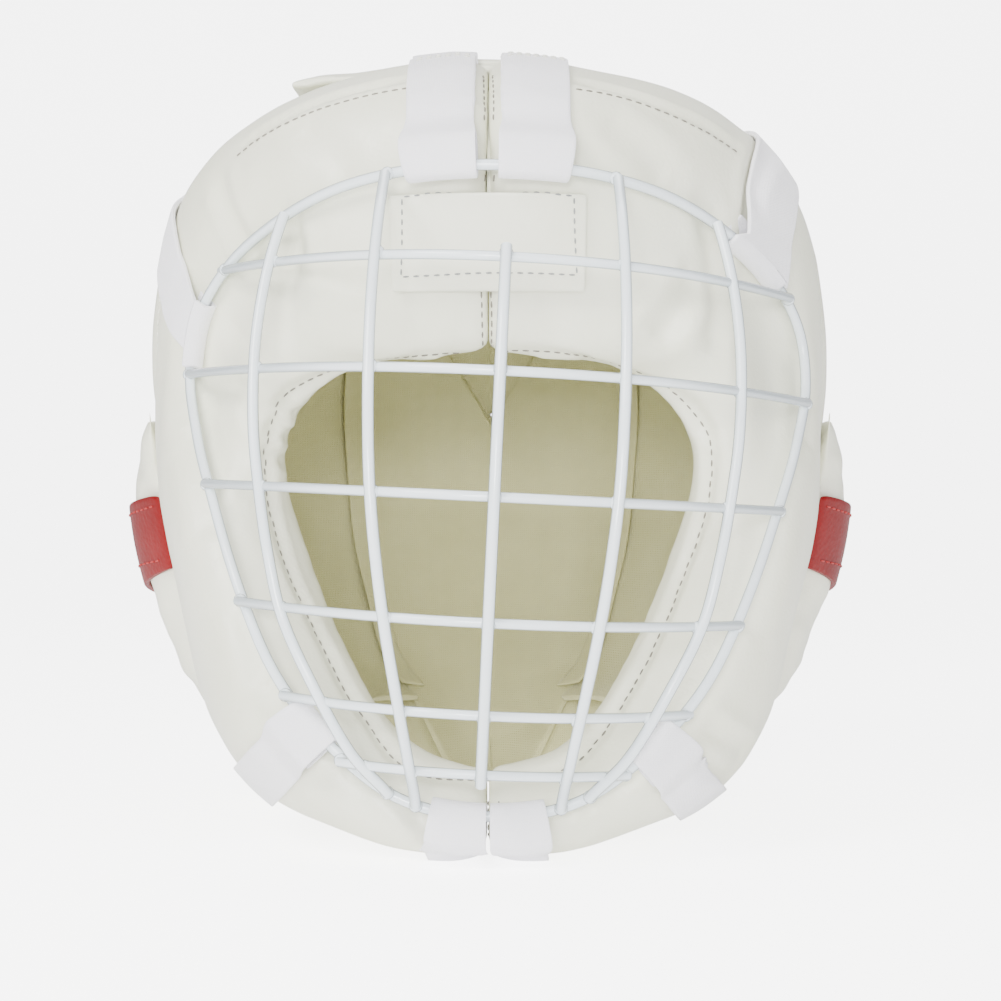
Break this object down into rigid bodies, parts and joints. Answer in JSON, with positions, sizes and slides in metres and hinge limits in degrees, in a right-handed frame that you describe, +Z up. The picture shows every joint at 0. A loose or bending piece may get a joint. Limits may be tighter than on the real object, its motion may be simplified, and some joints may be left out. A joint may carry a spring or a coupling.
{
  "type": "boxing headgear",
  "caption": "Padded full-face boxing headgear with a domed wire face cage on webbing straps, ear pads and red rear straps.",
  "frame": {"origin": "middle of the bounding box, on the ground plane on which the headgear stands", "axes": "+Z up, the face towards -Y, +X towards the right as seen from the front"},
  "size_m": [0.2606, 0.3136, 0.2639],
  "materials": {
    "ivory_leather": "smooth semi-gloss ivory synthetic leather",
    "khaki_lining": "matt khaki lining cloth",
    "white_webbing": "white woven hook-and-loop webbing",
    "red_leather": "glossy red synthetic leather",
    "white_wire": "gloss white powder coat on steel wire"
  },
  "bodies": {
    "root": {"front_pad_right": "ivory_leather", "front_pad_left": "ivory_leather", "side_panel_right": "ivory_leather", "side_panel_left": "ivory_leather", "crown_panel_right": "ivory_leather", "crown_panel_left": "ivory_leather", "back_panel": "ivory_leather", "ear_pad_right": "ivory_leather", "ear_pad_left": "ivory_leather", "crown_flap": "ivory_leather", "top_piping": "ivory_leather", "forehead_patch": "ivory_leather", "side_lining_right": "khaki_lining", "side_lining_left": "khaki_lining", "back_lining": "khaki_lining", "crown_lining": "khaki_lining", "lining_band_right": "khaki_lining", "lining_band_left": "khaki_lining", "top_strap_right": "white_webbing", "top_strap_left": "white_webbing", "upper_strap_right": "white_webbing", "upper_strap_left": "white_webbing", "lower_strap_right": "white_webbing", "lower_strap_left": "white_webbing", "chin_strap_right": "white_webbing", "chin_strap_left": "white_webbing", "red_strap_right": "red_leather", "red_strap_left": "red_leather", "face_cage": "white_wire"}
  },
  "joints": []
}
